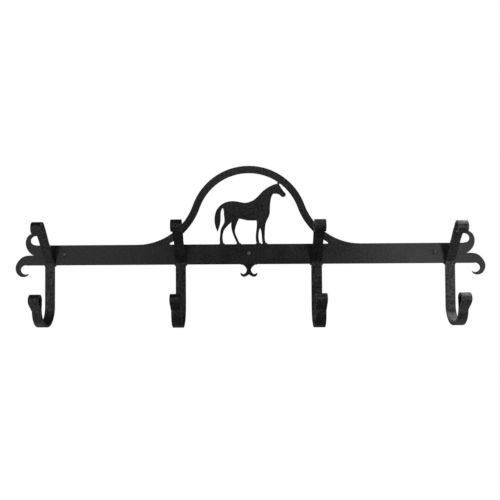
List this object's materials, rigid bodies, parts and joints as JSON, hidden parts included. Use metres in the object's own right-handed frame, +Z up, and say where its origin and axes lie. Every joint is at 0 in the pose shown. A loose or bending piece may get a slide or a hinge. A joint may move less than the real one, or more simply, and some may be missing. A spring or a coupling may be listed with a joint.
{
  "type": "wall tack rack",
  "caption": "Black wrought-iron wall rack for bridles and tack: a flat bar with scrolled ends and double strap hooks, under an arch that frames a standing horse.",
  "frame": {"origin": "middle of the bar's back face, on the wall, 2.2 mm below the axis of the middle screw", "axes": "+X to the right along the bar, +Y into the wall, +Z up; the hooks reach towards -Y"},
  "size_m": [1.0314, 0.1463, 0.349],
  "materials": {
    "plate_iron": "satin black coating over rolled and forged iron plate",
    "strap_iron": "satin black coating over forged strap",
    "weld_metal": "satin black coating over rippled weld metal",
    "screw_steel": "semi-gloss grey-black coated steel"
  },
  "bodies": {
    "root": {"main_bar": "plate_iron", "arch_band": "plate_iron", "horse": "plate_iron", "drop_finial": "plate_iron", "hook_outer_left": "strap_iron", "hook_inner_left": "strap_iron", "hook_inner_right": "strap_iron", "hook_outer_right": "strap_iron", "weld_hook_outer_left": "weld_metal", "weld_hook_inner_left": "weld_metal", "weld_hook_inner_right": "weld_metal", "weld_hook_outer_right": "weld_metal", "weld_arch_heel_left": "weld_metal", "weld_arch_heel_right": "weld_metal", "weld_arch_toe_left": "weld_metal", "weld_arch_toe_right": "weld_metal", "weld_finial_left": "weld_metal", "weld_finial_right": "weld_metal", "weld_ear": "weld_metal", "weld_hoof_1": "weld_metal", "weld_hoof_2": "weld_metal", "weld_hoof_3": "weld_metal", "weld_hoof_4": "weld_metal", "screw_left": "screw_steel", "screw_middle": "screw_steel", "screw_right": "screw_steel"}
  },
  "joints": []
}
